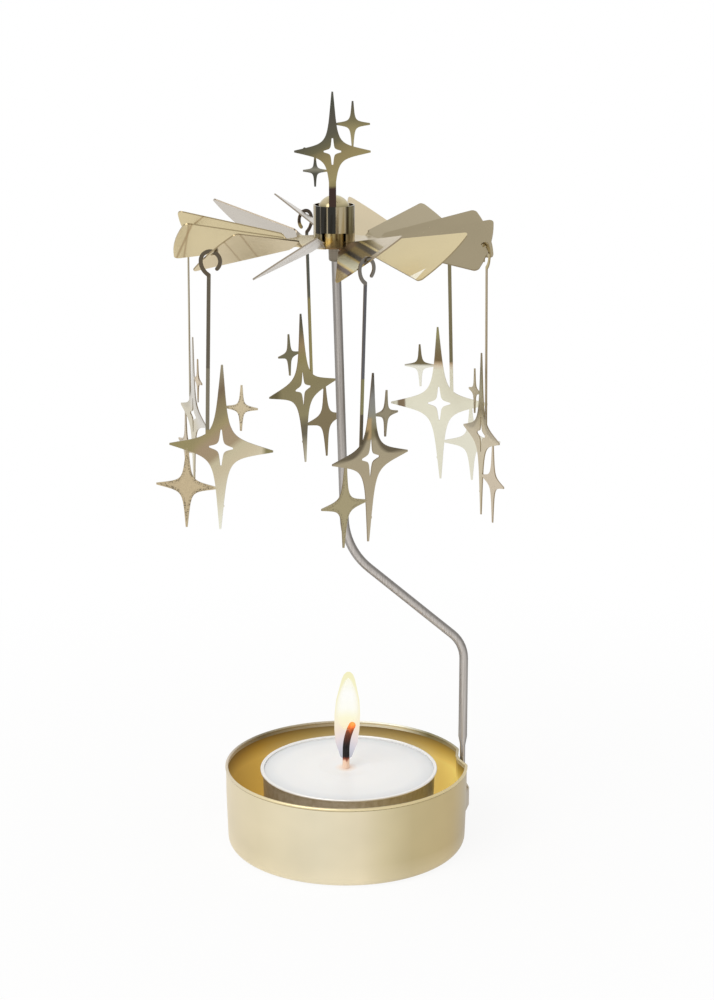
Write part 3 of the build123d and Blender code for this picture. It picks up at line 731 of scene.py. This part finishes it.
def topper_sheet():
    """Stamped, rolled and polished champagne-plated steel with painted reflections: a dark steel-like mirror
    in the star's upper arm and foot, olive gold below, and upright light and dark bars round the rolled
    collar."""
    material, tree, place = new_material("polished_champagne_sheet_topper")
    u = reach(tree, place, TOPPER_STAR, (1, 0, 0))
    w = reach(tree, place, TOPPER_STAR, (0, 0, 1))
    slope = reach(tree, place, TOPPER_STAR, TOPPER_SLOPE)
    colour = ramp_over(tree, slope, (
        (-12, "4A3A38"), (-9.4, "43342F"), (-7.0, "4A3C36"), (-6.5, "8A7F58"), (-5, "9C9066"),
        (-1.5, "94865F"), (0.6, "827757"), (1.4, "6C674F"), (3.2, "5E5B4C"), (5.5, "5A564C"),
        (9, "4E4F45"), (13, "77746A"),
    ))
    flat = add(tree, "ShaderNodeCombineXYZ", {"X": u, "Y": w})
    big = star_field(tree, flat, TOPPER_BIG)
    upper = star_field(tree, flat, TOPPER_UPPER)
    lower = star_field(tree, flat, TOPPER_LOWER)
    # painted reflection tones of the two small stars, with a painted highlight in the lower one
    small_runs = (
        (upper, ((0.9, "A39872"), (4.6, "958A64"), (6.2, "7C7456"), (10.1, "56534A"))),
        (lower, ((-7.1, "4A4A42"), (-4.4, "55544A"), (-3.6, "8A8778"), (-2.8, "5A594E"), (-0.6, "4A4B42"))),
    )
    for field, stops in small_runs:
        own = within(tree, field, big)
        tone = ramp_over(tree, w, stops)
        colour = add(tree, "ShaderNodeMix", {"Factor": own, 6: colour, 7: tone}, data_type="RGBA")
    # painted dark reflection along the strip
    strip = band(tree, w, *STRIP_HEIGHT, 0.35)
    narrow = band(tree, u, *STRIP_WIDTH, 0.05)
    share = add(tree, "ShaderNodeMath", {0: strip, 1: narrow}, operation="MULTIPLY")
    colour = add(
        tree, "ShaderNodeMix", {"Factor": share, 6: colour, 7: linear(STRIP_TONE)}, data_type="RGBA"
    )

    turn = azimuth_of(tree, place, PIVOT)
    bars = ramp_over(tree, turn, COLLAR_BANDS)
    height = reach(tree, place, PIVOT, UP)
    foot = band(tree, height, *FOOT_SPAN, 0.1)
    # painted reflection and shade on the foot where it shows in the collar's notch
    foot_bars = ramp_over(tree, turn, (
        (-180, "C9BD94"), (-70, "BEB296"), (-61, "98906E"), (-56, "776C54"), (-36, "857B60"),
        (-30, "B4A680"), (36, "A49472"), (42, "857656"), (60, "8A7C5C"), (68, "C0B08C"), (100, "C9BD94"),
        (180, "C9BD94"),
    ))
    bars = add(tree, "ShaderNodeMix", {"Factor": foot, 6: bars, 7: foot_bars}, data_type="RGBA")
    low_part = add(
        tree,
        "ShaderNodeMapRange",
        {"Value": height, "From Min": COLLAR_TOP, "From Max": COLLAR_TOP + 0.1, "To Min": 1.0, "To Max": 0.0},
    )
    colour = add(tree, "ShaderNodeMix", {"Factor": low_part, 6: colour, 7: bars}, data_type="RGBA")
    rolled_metal(tree, place, colour, roughness=0.16, grain=0.03, wave=0.1)
    return material


def cap_sheet():
    """Deep-drawn and polished champagne-plated thimble: a smooth pale dome, with painted light and shade by
    height and where the collar's notch shows it.
    """
    material, tree, place = new_material("deep_drawn_champagne_thimble")
    height = reach(tree, place, PIVOT, UP)
    # painted light and shade by height: pale at the foot, dark just below the collar's top, pale on the dome
    # above
    colour = ramp_over(
        tree,
        height,
        ((-1, "E8D298"), (0, "E6D49A"), (1.9, "C8B888"), (7.4, "8F8564"), (8.2, "C2B590"), (10, "D8CCA8")),
    )
    # painted light and shade where the notch in the collar shows the cap: bright at the left, dim at the
    # right
    turn = azimuth_of(tree, place, PIVOT)
    seen = ramp_over(tree, turn, (
        (-180, "FFFFFF"), (-34, "F4F4FF"), (-14, "F4F4FF"), (-11, "B4AC9C"), (2, "BEB8AC"), (5, "A4A09A"),
        (14, "9A9488"), (20, "847A70"), (26, "B8B0A0"), (40, "FFFFFF"), (180, "FFFFFF"),
    ))
    low_part = add(
        tree, "ShaderNodeMapRange", {"Value": height, "From Min": NOTCH_SPAN[1], "From Max": NOTCH_SPAN[0]}
    )
    colour = add(
        tree,
        "ShaderNodeMix",
        {"Factor": low_part, 6: colour, 7: seen},
        data_type="RGBA",
        blend_type="MULTIPLY",
    )
    rolled_metal(tree, place, colour, roughness=0.18, grain=0.03, wave=0.05)
    return material


# Candle cup, wire and pivot

# heights and radii in millimetres: the bead's lower edge outside and inside, the painted shadow line below
# it, the middle of the wall's sheet at its foot and where it turns upright below the dent, and the middle of
# the floor's
BEAD_OUTSIDE = 17.42
BEAD_INSIDE = 16.8
BEAD_SHADOW_LINE = (17.33, 17.45)
WALL_FOOT = 25.67
WALL_TURN = 26.03
WALL_TURN_HEIGHT = 11.75
FLOOR_MIDDLE = 0.15
# below this rise of its normal a face belongs to the rounded corner's outside
CORNER_RISE = -0.06
# height over which the outside has a painted reflection of the white floor below, which makes it paler, and
# by how much
PALE_SPAN = (0.2, 5.0)
PALE_SHARE = 0.3
# inside, the sheet has a painted glow this strong, which stands for the flame's light, and is this metallic
INSIDE_GLOW = 0.42
INSIDE_METAL = 0.35
# way across the wire, towards the right and up, along which its painted stripes of light and shade run
SHADED_WAY = (1.0, 0.0, 0.6)


def cup_sheet():
    """Deep-drawn brass-plated steel: satin champagne outside and deep gold inside, with painted light and
    shade round both, a painted glow inside for the flame's light, and painted highlights and a shadow line at
    the bead.
    """
    material, tree, place = new_material("deep_drawn_satin_brass_cup")
    turn = azimuth_of(tree, place, (0, 0, 0))
    radius = radius_of(tree, place, (0, 0, 0))
    height = reach(tree, place, (0, 0, 0), UP)
    # painted light and shade round the outside: palest at the front, darkest at the right
    outside = ramp_over(tree, turn, (
        (-180, "E6D9B8"), (-85, "E6D9BC"), (-45, "E8DCBC"), (-12, "F0E6CA"), (6, "EADEC0"),
        (18, "DACDA8"), (32, "C6B78E"), (60, "C0AD80"), (80, "B4A688"), (92, "ABA08E"), (130, "CCBF9C"),
        (180, "E6D9B8"),
    ))
    low_part = add(
        tree,
        "ShaderNodeMapRange",
        {
            "Value": height, "From Min": PALE_SPAN[0], "From Max": PALE_SPAN[1],
            "To Min": PALE_SHARE, "To Max": 0.0,
        },
    )
    outside = add(
        tree, "ShaderNodeMix", {"Factor": low_part, 6: outside, 7: linear("FFF3D6")}, data_type="RGBA"
    )
    cloud = add(tree, "ShaderNodeTexNoise", {"Vector": place, "Scale": WAVE, "Detail": 2.0})
    mottle = add(
        tree,
        "ShaderNodeMapRange",
        {"Value": cloud, "From Min": 0.3, "From Max": 0.7, "To Min": 0.95, "To Max": 1.05},
    )
    outside = add(tree, "ShaderNodeVectorMath", {0: outside, "Scale": mottle}, operation="SCALE")
    # painted light and shade round the inside: darkest at the left, brightest at the right
    inside = ramp_over(tree, turn, (
        (-180, "D6CAAA"), (-160, "CCBA84"), (-130, "C8A652"), (-112, "B08E42"), (-95, "957A40"),
        (-75, "9C8450"), (0, "B8AA8C"), (75, "D8BC62"), (105, "F2DA7C"), (125, "E2C872"), (150, "D4C494"),
        (180, "D6CAAA"),
    ))
    # painted shade, darkening the inside towards the rim
    under_rim = ramp_over(
        tree, height, ((0, "FFFFFF"), (12.5, "FFFFFF"), (15.2, "C4B898"), (16.8, "8A7C62"))
    )
    inside = add(
        tree,
        "ShaderNodeMix",
        {"Factor": 1.0, 6: inside, 7: under_rim},
        data_type="RGBA",
        blend_type="MULTIPLY",
    )
    # halfway through the sheet, where the tapered wall turns upright below the dent
    line = add(
        tree,
        "ShaderNodeMapRange",
        {"Value": height, "From Max": WALL_TURN_HEIGHT, "To Min": WALL_FOOT, "To Max": WALL_TURN},
    )
    inner = add(tree, "ShaderNodeMath", {0: radius, 1: line}, operation="LESS_THAN")
    above = add(tree, "ShaderNodeMath", {0: height, 1: FLOOR_MIDDLE}, operation="GREATER_THAN")
    share = add(tree, "ShaderNodeMath", {0: inner, 1: above}, operation="MULTIPLY")
    # the rounded corner's outer face points down, and its inner face doesn't
    facing = add(tree, "ShaderNodeTexCoord").outputs["Normal"]
    rise = add(tree, "ShaderNodeSeparateXYZ", {0: facing}).outputs["Z"]
    upward = add(tree, "ShaderNodeMath", {0: rise, 1: CORNER_RISE}, operation="GREATER_THAN")
    share = add(tree, "ShaderNodeMath", {0: share, 1: upward}, operation="MULTIPLY")
    colour = add(tree, "ShaderNodeMix", {"Factor": share, 6: outside, 7: inside}, data_type="RGBA")
    # painted reflections and highlights round the rolled bead
    rim = ramp_over(tree, turn, (
        (-180, "CFC2A8"), (-150, "AFA388"), (-132, "857A62"), (-118, "A89C86"), (-95, "D8CBB8"),
        (-60, "E2D6B6"), (-30, "EBDCB0"), (0, "EBDDB4"), (40, "DCCB9C"), (90, "D8CAA4"), (112, "A89E80"),
        (135, "8C8664"), (152, "FFFCE8"), (172, "FFFCEC"), (180, "D8CBB4"),
    ))
    lip = add(tree, "ShaderNodeMapRange", {"Value": share, "To Min": BEAD_OUTSIDE, "To Max": BEAD_INSIDE})
    bead = add(tree, "ShaderNodeMath", {0: height, 1: lip}, operation="GREATER_THAN")
    colour = add(tree, "ShaderNodeMix", {"Factor": bead, 6: colour, 7: rim}, data_type="RGBA")
    # painted shadow line under the bead, on the outside
    bead_shadow = band(tree, height, *BEAD_SHADOW_LINE, 0.02)
    outer = add(tree, "ShaderNodeMath", {0: 1.0, 1: inner}, operation="SUBTRACT")
    bead_shadow = add(tree, "ShaderNodeMath", {0: bead_shadow, 1: outer}, operation="MULTIPLY")
    colour = add(tree, "ShaderNodeMix", {"Factor": bead_shadow, 6: colour, 7: linear("8A7650")}, data_type="RGBA")
    gloss = add(tree, "ShaderNodeMapRange", {"Value": share, "To Min": 0.38, "To Max": 0.42})
    metal = add(tree, "ShaderNodeMapRange", {"Value": share, "To Min": 1.0, "To Max": INSIDE_METAL})
    # a glow inside stands for the flame's light, which gold sheet passes on from wall to wall
    under_bead = add(tree, "ShaderNodeMath", {0: share, 1: bead}, operation="SUBTRACT", use_clamp=True)
    gathered = add(tree, "ShaderNodeMapRange", {"Value": under_bead, "To Min": 0.0, "To Max": INSIDE_GLOW})
    fine = add(tree, "ShaderNodeTexNoise", {"Vector": place, "Scale": SATIN, "Detail": 2.0})
    bump = add(tree, "ShaderNodeBump", {"Height": fine, "Strength": 0.12, "Distance": 0.02 * MM})
    surface = add(
        tree,
        "ShaderNodeBsdfPrincipled",
        {
            "Base Color": colour,
            "Metallic": metal,
            "Roughness": gloss,
            "Normal": bump,
            "Emission Color": colour,
            "Emission Strength": gathered,
        },
    )
    add(tree, "ShaderNodeOutputMaterial", {"Surface": surface})
    return material


def drawn_wire():
    """Cold-drawn steel wire: satin grey with fine die lines along it, painted shade towards its top, and
    painted stripes of light and shade along it, set by the way its surface faces.
    """
    material, tree, place = new_material("cold_drawn_steel_wire")
    stretched = add(tree, "ShaderNodeMapping", {"Vector": place, "Scale": DIE_LINES})
    lines = add(tree, "ShaderNodeTexNoise", {"Vector": stretched, "Scale": 1.0, "Detail": 3.0})
    colour = ramp_over(
        tree, lines, ((0.0, "B2ABA5"), (0.38, "CEC7C1"), (0.55, "E4DED8"), (0.68, "C8C1BC"), (1.0, "F4EFE9"))
    )
    height = reach(tree, place, (0, 0, 0), UP)
    # the wire is darker towards its top, in the wheel's shade
    share = ramp_over(
        tree, height, ((0, "F6F6F6"), (55, "F4F4F4"), (85, "E6E6E6"), (110, "DADADA"), (135, "CECECE"))
    )
    facing = add(tree, "ShaderNodeTexCoord").outputs["Normal"]
    side = add(tree, "ShaderNodeVectorMath", {0: facing, 1: SHADED_WAY}, operation="DOT_PRODUCT")
    # painted stripes of light and shade, by the way the wire's surface faces
    drawn = ramp_over(tree, side, (
        (-1, "BEBEBE"), (-0.8, "CCCCCC"), (-0.52, "D4D4D4"), (-0.36, "FFFFFF"), (0, "F6F6F6"),
        (0.3, "EAEAEA"), (0.58, "D2D2D2"), (0.8, "ACACAC"), (1, "A4A4A4"),
    ))
    for factor in (share, drawn):
        colour = add(
            tree,
            "ShaderNodeMix",
            {"Factor": 1.0, 6: colour, 7: factor},
            data_type="RGBA",
            blend_type="MULTIPLY",
        )
    bump = add(tree, "ShaderNodeBump", {"Height": lines, "Strength": 0.25, "Distance": 0.03 * MM})
    surface = add(
        tree,
        "ShaderNodeBsdfPrincipled",
        {"Base Color": colour, "Metallic": 1.0, "Roughness": 0.34, "Normal": bump},
    )
    add(tree, "ShaderNodeOutputMaterial", {"Surface": surface})
    return material


def turned_metal(name, low_code, high_code, roughness):
    """Metal turned on a lathe: fine rings of 0.2 mm round it, read as a slight banding in the gloss."""
    material, tree, place = new_material(name)
    rings = add(tree, "ShaderNodeMapping", {"Vector": place, "Scale": LATHE_RINGS})
    turned = add(tree, "ShaderNodeTexNoise", {"Vector": rings, "Scale": 1.0, "Detail": 2.0})
    colour = ramp_over(tree, turned, ((0.3, low_code), (0.7, high_code)))
    gloss = add(
        tree,
        "ShaderNodeMapRange",
        {"Value": turned, "To Min": roughness - 0.05, "To Max": roughness + 0.05},
    )
    surface = add(
        tree, "ShaderNodeBsdfPrincipled", {"Base Color": colour, "Metallic": 1.0, "Roughness": gloss}
    )
    add(tree, "ShaderNodeOutputMaterial", {"Surface": surface})
    return material


# Tealight and flame

# foot of the tealight's axis, and the wick's at the wax
TEALIGHT = Vector((0.5, 0, 0.4)) * MM
WICK = Vector((-0.1, 1.2, 16.7)) * MM
# heights of the shell's lip from its lower edge to its top, and how metallic the foil is below and on it
LIP_SPAN = (16.3, 16.7)
FOIL_METAL = 0.7
LIP_METAL = 0.35
# pleats by the degree round the shell, and the share of the dents in its relief
PLEATS = 1.2
DENTS = 0.4
# the wax has a painted warm glow of the flame between these distances from the wick, up to this share
FLAME_GLOW_SPAN = (0.7, 2.6)
FLAME_GLOW_SHARE = 0.75
# the wick glows between these heights over the wax, up to this strength
EMBER_SPAN = (8.8, 10.6)
EMBER_GLOW = 0.65


def pressed_shell():
    """Pressed aluminium foil: thin, crimped into faint upright pleats, with a pale lip and painted shade
    round it, darkest at the right.
    """
    material, tree, place = new_material("pressed_aluminium_foil")
    turn = azimuth_of(tree, place, TEALIGHT)
    steps = add(tree, "ShaderNodeMath", {0: turn, 1: PLEATS}, operation="MULTIPLY")
    pleats = add(
        tree, "ShaderNodeTexNoise", {"W": steps, "Scale": 1.0, "Detail": 1.0}, noise_dimensions="1D"
    )
    dents = add(tree, "ShaderNodeTexNoise", {"Vector": place, "Scale": FOIL_DENTS, "Detail": 2.0})
    relief = add(tree, "ShaderNodeMath", {0: dents, 1: DENTS, 2: pleats}, operation="MULTIPLY_ADD")
    bump = add(tree, "ShaderNodeBump", {"Height": relief, "Strength": 0.35, "Distance": 0.12 * MM})
    colour = ramp_over(tree, dents, ((0.3, "CFC9BE"), (0.7, "E6E3DE")))
    # painted shade round the shell, darkest at the right
    shade = ramp_over(tree, turn, (
        (-180, "FFFFFF"), (-90, "D8D8D8"), (0, "FFFFFF"), (40, "D0D0D0"), (80, "9C9C9C"), (180, "FFFFFF"),
    ))
    colour = add(
        tree, "ShaderNodeMix", {"Factor": 1.0, 6: colour, 7: shade}, data_type="RGBA", blend_type="MULTIPLY"
    )
    height = reach(tree, place, (0, 0, 0), UP)
    lip = add(
        tree, "ShaderNodeMapRange", {"Value": height, "From Min": LIP_SPAN[0], "From Max": LIP_SPAN[1]}
    )
    colour = add(tree, "ShaderNodeMix", {"Factor": lip, 6: colour, 7: linear("FAF9F7")}, data_type="RGBA")
    metal = add(tree, "ShaderNodeMapRange", {"Value": lip, "To Min": FOIL_METAL, "To Max": LIP_METAL})
    surface = add(
        tree,
        "ShaderNodeBsdfPrincipled",
        {"Base Color": colour, "Metallic": metal, "Roughness": 0.32, "Normal": bump},
    )
    add(tree, "ShaderNodeOutputMaterial", {"Surface": surface})
    return material


def poured_wax():
    """Poured paraffin: milky white, with painted shade greying it towards the rim and a painted warm glow of
    the flame round the wick.
    """
    material, tree, place = new_material("poured_white_paraffin")
    from_middle = radius_of(tree, place, TEALIGHT)
    # painted shade: the wax greys towards the shell's rim
    tone = ramp_over(
        tree, from_middle, ((0, "FFFFFF"), (9, "FFFFFF"), (15, "F7F8F9"), (17.4, "EBEDEF"), (20, "DADBDD"))
    )
    from_wick = radius_of(tree, place, WICK)
    # painted warm glow of the flame round the wick
    glow = add(
        tree,
        "ShaderNodeMapRange",
        {
            "Value": from_wick, "From Min": FLAME_GLOW_SPAN[0], "From Max": FLAME_GLOW_SPAN[1],
            "To Min": FLAME_GLOW_SHARE, "To Max": 0.0,
        },
    )
    tone = add(tree, "ShaderNodeMix", {"Factor": glow, 6: tone, 7: linear("F5D5BC")}, data_type="RGBA")
    mottle = add(tree, "ShaderNodeTexNoise", {"Vector": place, "Scale": WAX_MOTTLE, "Detail": 3.0})
    bump = add(tree, "ShaderNodeBump", {"Height": mottle, "Strength": 0.15, "Distance": 0.1 * MM})
    surface = add(
        tree,
        "ShaderNodeBsdfPrincipled",
        {
            "Base Color": tone,
            "Roughness": 0.42,
            "IOR": 1.43,
            "Subsurface Weight": 0.3,
            "Subsurface Radius": (1.0, 0.9, 0.8),
            "Subsurface Scale": 1.5 * MM,
            "Normal": bump,
        },
    )
    add(tree, "ShaderNodeOutputMaterial", {"Surface": surface})
    return material


def lit_wick():
    """Braided cotton, lit: pale and soaked with wax at its foot, charred above, glowing at its tip."""
    material, tree, place = new_material("braided_cotton_wick_lit")
    height = reach(tree, place, WICK, UP)
    strands = add(tree, "ShaderNodeMapping", {"Vector": place, "Scale": BRAID})
    braid = add(tree, "ShaderNodeTexNoise", {"Vector": strands, "Scale": 1.0, "Detail": 2.0})
    frayed = add(tree, "ShaderNodeMath", {0: braid, 1: 1.6, 2: height}, operation="MULTIPLY_ADD")
    colour = ramp_over(tree, frayed, (
        (0.0, "F3DCC8"), (2.0, "EFCBB0"), (2.6, "A4553A"), (3.2, "160C09"), (5.6, "0E0A09"),
        (6.6, "2C1710"), (8.6, "6E3A24"), (9.4, "B0562E"), (10.2, "E87838"), (12, "F39A50"),
    ))
    ember = add(
        tree,
        "ShaderNodeMapRange",
        {
            "Value": frayed, "From Min": EMBER_SPAN[0], "From Max": EMBER_SPAN[1],
            "To Min": 0.0, "To Max": EMBER_GLOW,
        },
    )
    bump = add(tree, "ShaderNodeBump", {"Height": braid, "Strength": 0.5, "Distance": 0.1 * MM})
    surface = add(
        tree,
        "ShaderNodeBsdfPrincipled",
        {
            "Base Color": colour,
            "Roughness": 0.85,
            "Normal": bump,
            "Emission Color": colour,
            "Emission Strength": ember,
        },
    )
    add(tree, "ShaderNodeOutputMaterial", {"Surface": surface})
    return material


# half widths in millimetres of the flame's mantle and of its white core, by height over the cup's underside
MANTLE = (
    (18.3, 0.0), (18.5, 0.6), (19.0, 1.25), (20.7, 1.85), (22.3, 2.4), (25.1, 2.72), (28.7, 2.79),
    (32.0, 2.52), (35.1, 1.82), (36.7, 1.42), (37.7, 1.02), (38.25, 0.5), (38.4, 0.0),
)
CORE = (
    (25.2, 0.0), (25.5, 0.9), (26.4, 1.6), (28.2, 2.1), (30.4, 2.15), (32.4, 1.9), (34.6, 1.35),
    (36.3, 0.7), (37.1, 0.0),
)
# the white core is four nested shells, each this share of its width, so that its edge is soft
CORE_SHARES = (1.12, 0.97, 0.8, 0.6)
# how much of what is behind them the mantle and one core shell cover
MANTLE_BODY = 1.0
CORE_BODY = 0.42
FLAME_FOOT = Vector((-0.1, 1.2, 18.3)) * MM
FLAME_LEAN = 0.028


def teardrop(name, outline):
    """Closed shell of a flame: its outline spun round its own axis, then leant a little to the right."""
    shape = bmesh.new()
    chain = [shape.verts.new((half * MM, 0, height * MM)) for height, half in outline]
    edges = [shape.edges.new(pair) for pair in zip(chain, chain[1:])]
    bmesh.ops.subdivide_edges(shape, edges=edges, cuts=2, smooth=1.0)
    bmesh.ops.spin(
        shape,
        geom=shape.verts[:] + shape.edges[:],
        cent=(0, 0, 0),
        axis=(0, 0, 1),
        angle=math.tau,
        steps=48,
        use_merge=True,
    )
    bmesh.ops.remove_doubles(shape, verts=shape.verts[:], dist=0.01 * MM)
    bmesh.ops.recalc_face_normals(shape, faces=shape.faces[:])
    leaning = Matrix.Identity(4)
    leaning[0][2] = FLAME_LEAN
    rise = Matrix.Translation((FLAME_FOOT.x, FLAME_FOOT.y, 0))
    settle = Matrix.Translation((-FLAME_LEAN * FLAME_FOOT.z, 0, 0))
    bmesh.ops.transform(shape, matrix=rise @ settle @ leaning, verts=shape.verts[:])
    for face in shape.faces:
        face.smooth = True
    mesh = bpy.data.meshes.new(name)
    shape.to_mesh(mesh)
    shape.free()
    piece = bpy.data.objects.new(name, mesh)
    bpy.context.scene.collection.objects.link(piece)
    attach(piece, "tealight")
    return piece


def burning_gas(name, stops, body):
    """Burning wax vapour: it glows, casts no shade and isn't mirrored. Its near side is clear, so that the
    wick shows, and its far side covers what is behind it by the share of its body."""
    material, tree, place = new_material(name)
    height = reach(tree, place, (0, 0, 0), UP)
    colour = ramp_over(tree, height, stops)
    glow = add(tree, "ShaderNodeEmission", {"Color": colour, "Strength": 1.0})
    clear = add(tree, "ShaderNodeBsdfTransparent", {"Color": (1, 1, 1, 1)})
    far_side = add(tree, "ShaderNodeNewGeometry").outputs["Backfacing"]
    path = add(tree, "ShaderNodeLightPath")
    shadow, glossy = path.outputs["Is Shadow Ray"], path.outputs["Is Glossy Ray"]
    hidden = add(tree, "ShaderNodeMath", {0: shadow, 1: glossy}, operation="MAXIMUM")
    lit = add(tree, "ShaderNodeMapRange", {"Value": hidden, "To Min": body, "To Max": 0.0})
    share = add(tree, "ShaderNodeMath", {0: far_side, 1: lit}, operation="MULTIPLY")
    mixed = add(tree, "ShaderNodeMixShader", {0: share, 1: clear, 2: glow})
    add(tree, "ShaderNodeOutputMaterial", {"Surface": mixed})
    return material


def flame():
    """The flame, which rides on the tealight: a mantle, and its white core inside."""
    mantle = teardrop("flame_mantle", MANTLE)
    mantle.data.materials.append(
        burning_gas(
            "burning_wax_vapour_mantle",
            (
                (18.3, "B8BBC4"), (20.5, "D2CFD8"), (22.5, "EADDDC"), (24.5, "F6E6D4"), (26.5, "FAF0D6"),
                (29, "F8F3D6"), (33, "F6F2CF"), (36, "F5F1C8"), (38.4, "F5F0C2"),
            ),
            MANTLE_BODY,
        )
    )
    gas = burning_gas(
        "burning_wax_vapour_core",
        ((25.2, "FCF0CC"), (27.4, "FDFAD8"), (29.5, "FFFFF8"), (33, "FFFFFF"), (37.1, "FDFCE8")),
        CORE_BODY,
    )
    for count, share in enumerate(CORE_SHARES, start=1):
        core = teardrop(f"flame_core_{count}", [(height, half * share) for height, half in CORE])
        core.data.materials.append(gas)


def dress(node, material):
    """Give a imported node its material."""
    mesh = frame["nodes"][node].data
    mesh.materials.clear()
    mesh.materials.append(material)


for node_name, node_tones in PENDANT_TONES.items():
    dress(node_name, pendant_sheet(node_name, node_tones))
dress("rotor_wheel", wheel_sheet())
dress("topper_star", topper_sheet())
dress("bearing_cap", cap_sheet())
dress("candle_cup", cup_sheet())
dress("stand_wire", drawn_wire())
dress("pivot_sleeve", turned_metal("turned_aluminium_sleeve", "756D60", "8C8375", 0.3))
dress("pivot_needle", turned_metal("ground_steel_needle", "B8B6B4", "D0CFCE", 0.2))
dress("tealight_shell", pressed_shell())
dress("tealight_wax", poured_wax())
dress("wick_sustainer", turned_metal("tinned_steel_disc", "BEBEBE", "D2D2D2", 0.3))
dress("wick", lit_wick())
flame()

studio_world()
sweep_floor()
soft_lamp("key_softbox", LAMP_PLACE, LAMP_AIM, LAMP_SIZE, LAMP_WATTS)
photo_camera()

scene = bpy.context.scene
scene.view_settings.view_transform = "Standard"
